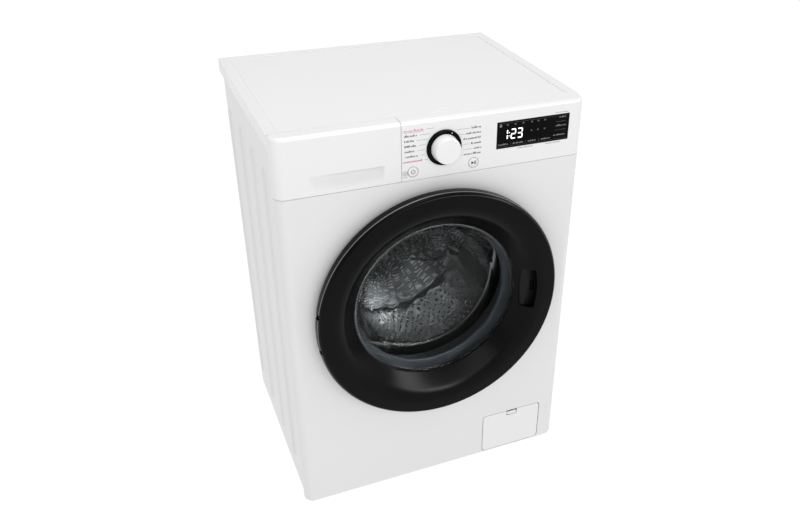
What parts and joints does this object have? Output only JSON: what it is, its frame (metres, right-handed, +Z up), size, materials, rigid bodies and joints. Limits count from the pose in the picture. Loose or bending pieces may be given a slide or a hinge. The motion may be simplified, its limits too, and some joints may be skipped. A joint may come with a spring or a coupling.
{
  "type": "front-loading washing machine",
  "caption": "Free-standing front-loading washing machine with a round glass door, detergent drawer, programme dial, display window and service flap.",
  "frame": {"origin": "on the floor, under the centre of the bounding box", "axes": "+X to the right as the user faces the machine, the front faces -Y, +Z up"},
  "size_m": [0.6, 0.509, 0.85],
  "materials": {
    "white_paint": "satin white powder coat",
    "white_plastic": "satin white moulding",
    "white_laminate": "board with white laminate",
    "black_plastic": "satin black moulding",
    "display_glass": "gloss black window",
    "clear_glass": "polished",
    "gasket_rubber": "matt",
    "black_rubber": "matt",
    "stainless": "bright stainless",
    "drum_lifter": "bright, hollow",
    "zinc_steel": "zinc plated",
    "cast_aluminium": "as cast",
    "tub_plastic": "grey moulding",
    "concrete": "cast",
    "copper": "lacquered windings",
    "blue_plastic": "moulding"
  },
  "bodies": {
    "cabinet": {"base_frame": "zinc_steel", "left_side_panel": "white_paint", "right_side_panel": "white_paint", "rear_panel": "zinc_steel", "rear_cover": "zinc_steel", "front_panel": "white_paint", "worktop_rim": "white_plastic", "worktop_board": "white_laminate", "control_panel": "white_plastic", "display_window": "display_glass", "main_control_board": "black_plastic", "dispenser_housing": "white_plastic", "inlet_valve": "blue_plastic", "drain_outlet": "black_plastic", "power_inlet_gland": "black_plastic", "service_recess": "white_plastic", "drain_pump": "tub_plastic", "sump_hose": "black_rubber", "door_lock": "black_plastic", "gasket": "gasket_rubber", "door_hinge_bracket": "zinc_steel", "door_hinge_pin": "zinc_steel", "spring_left": "zinc_steel", "spring_right": "zinc_steel", "damper_cylinder_left": "black_plastic", "damper_cylinder_right": "black_plastic"},
    "tub": {"tub_front": "tub_plastic", "tub_rear": "tub_plastic", "counterweight_upper": "concrete", "counterweight_lower": "concrete", "heater": "stainless", "bearing_front": "stainless", "bearing_rear": "stainless", "stator": "copper", "damper_rod_left": "zinc_steel", "damper_rod_right": "zinc_steel"},
    "drum": {"drum_shell": "stainless", "drum_lifter_1": "drum_lifter", "drum_lifter_2": "drum_lifter", "drum_lifter_3": "drum_lifter", "spider": "cast_aluminium", "shaft": "zinc_steel", "rotor": "zinc_steel"},
    "door": {"door_outer_ring": "black_plastic", "door_inner_frame": "black_plastic", "door_glass": "clear_glass", "door_hinge_arm": "cast_aluminium"},
    "latch": {"latch_hook": "cast_aluminium"},
    "drawer": {"drawer_front": "white_plastic", "drawer_tray": "white_plastic"},
    "dial": {"dial_knob": "white_plastic", "dial_ring": "black_plastic"},
    "power_button": {"power_button": "white_plastic"},
    "start_button": {"start_button": "white_plastic"},
    "flap": {"service_flap": "white_plastic"},
    "filter": {"pump_filter": "tub_plastic"},
    "foot_1": {"foot_1": "black_rubber"},
    "foot_2": {"foot_2": "black_rubber"},
    "foot_3": {"foot_3": "black_rubber"},
    "foot_4": {"foot_4": "black_rubber"}
  },
  "joints": [
    {"name": "tub_bounce", "type": "slide", "parent": "cabinet", "child": "tub", "axis": [0, 0, 1], "range_m": [-0.008, 0.008], "stiffness_N_per_m": 12000, "springref_m": 0.025, "deforming": ["spring_left", "spring_right", "gasket", "sump_hose"]},
    {"name": "drum_spin", "type": "hinge", "parent": "tub", "child": "drum", "pos_m": [0, 0.0045, 0.464], "axis": [0, 1, 0], "continuous": true},
    {"name": "door_swing", "type": "hinge", "parent": "cabinet", "child": "door", "pos_m": [-0.24, -0.2385, 0.464], "axis": [0, 0, -1], "range_deg": [0, 125]},
    {"name": "latch_pivot", "type": "hinge", "parent": "door", "child": "latch", "pos_m": [0.2067, -0.2285, 0.464], "axis": [0, 0, -1], "range_deg": [0, 8], "stiffness_Nm_per_rad": 0.05},
    {"name": "drawer_slide", "type": "slide", "parent": "cabinet", "child": "drawer", "axis": [0, -1, 0], "range_m": [0, 0.205]},
    {"name": "dial_turn", "type": "hinge", "parent": "cabinet", "child": "dial", "pos_m": [0.01, -0.2205, 0.7935], "axis": [0, -1, 0], "continuous": true},
    {"name": "power_button_press", "type": "slide", "parent": "cabinet", "child": "power_button", "axis": [0, 1, 0], "range_m": [0, 0.0012], "stiffness_N_per_m": 400},
    {"name": "start_button_press", "type": "slide", "parent": "cabinet", "child": "start_button", "axis": [0, 1, 0], "range_m": [0, 0.0012], "stiffness_N_per_m": 400},
    {"name": "flap_tip", "type": "hinge", "parent": "cabinet", "child": "flap", "pos_m": [0.186, -0.2205, 0.0225], "axis": [1, 0, 0], "range_deg": [0, 90]},
    {"name": "filter_turn", "type": "hinge", "parent": "cabinet", "child": "filter", "pos_m": [0.205, -0.2005, 0.072], "axis": [0, -1, 0], "range_deg": [0, 360]},
    {"name": "foot_1_turn", "type": "hinge", "parent": "cabinet", "child": "foot_1", "pos_m": [-0.27, -0.1805, 0], "axis": [0, 0, 1], "continuous": true},
    {"name": "foot_2_turn", "type": "hinge", "parent": "cabinet", "child": "foot_2", "pos_m": [0.27, -0.1805, 0], "axis": [0, 0, 1], "continuous": true},
    {"name": "foot_3_turn", "type": "hinge", "parent": "cabinet", "child": "foot_3", "pos_m": [-0.27, 0.2045, 0], "axis": [0, 0, 1], "continuous": true},
    {"name": "foot_4_turn", "type": "hinge", "parent": "cabinet", "child": "foot_4", "pos_m": [0.27, 0.2045, 0], "axis": [0, 0, 1], "continuous": true}
  ]
}
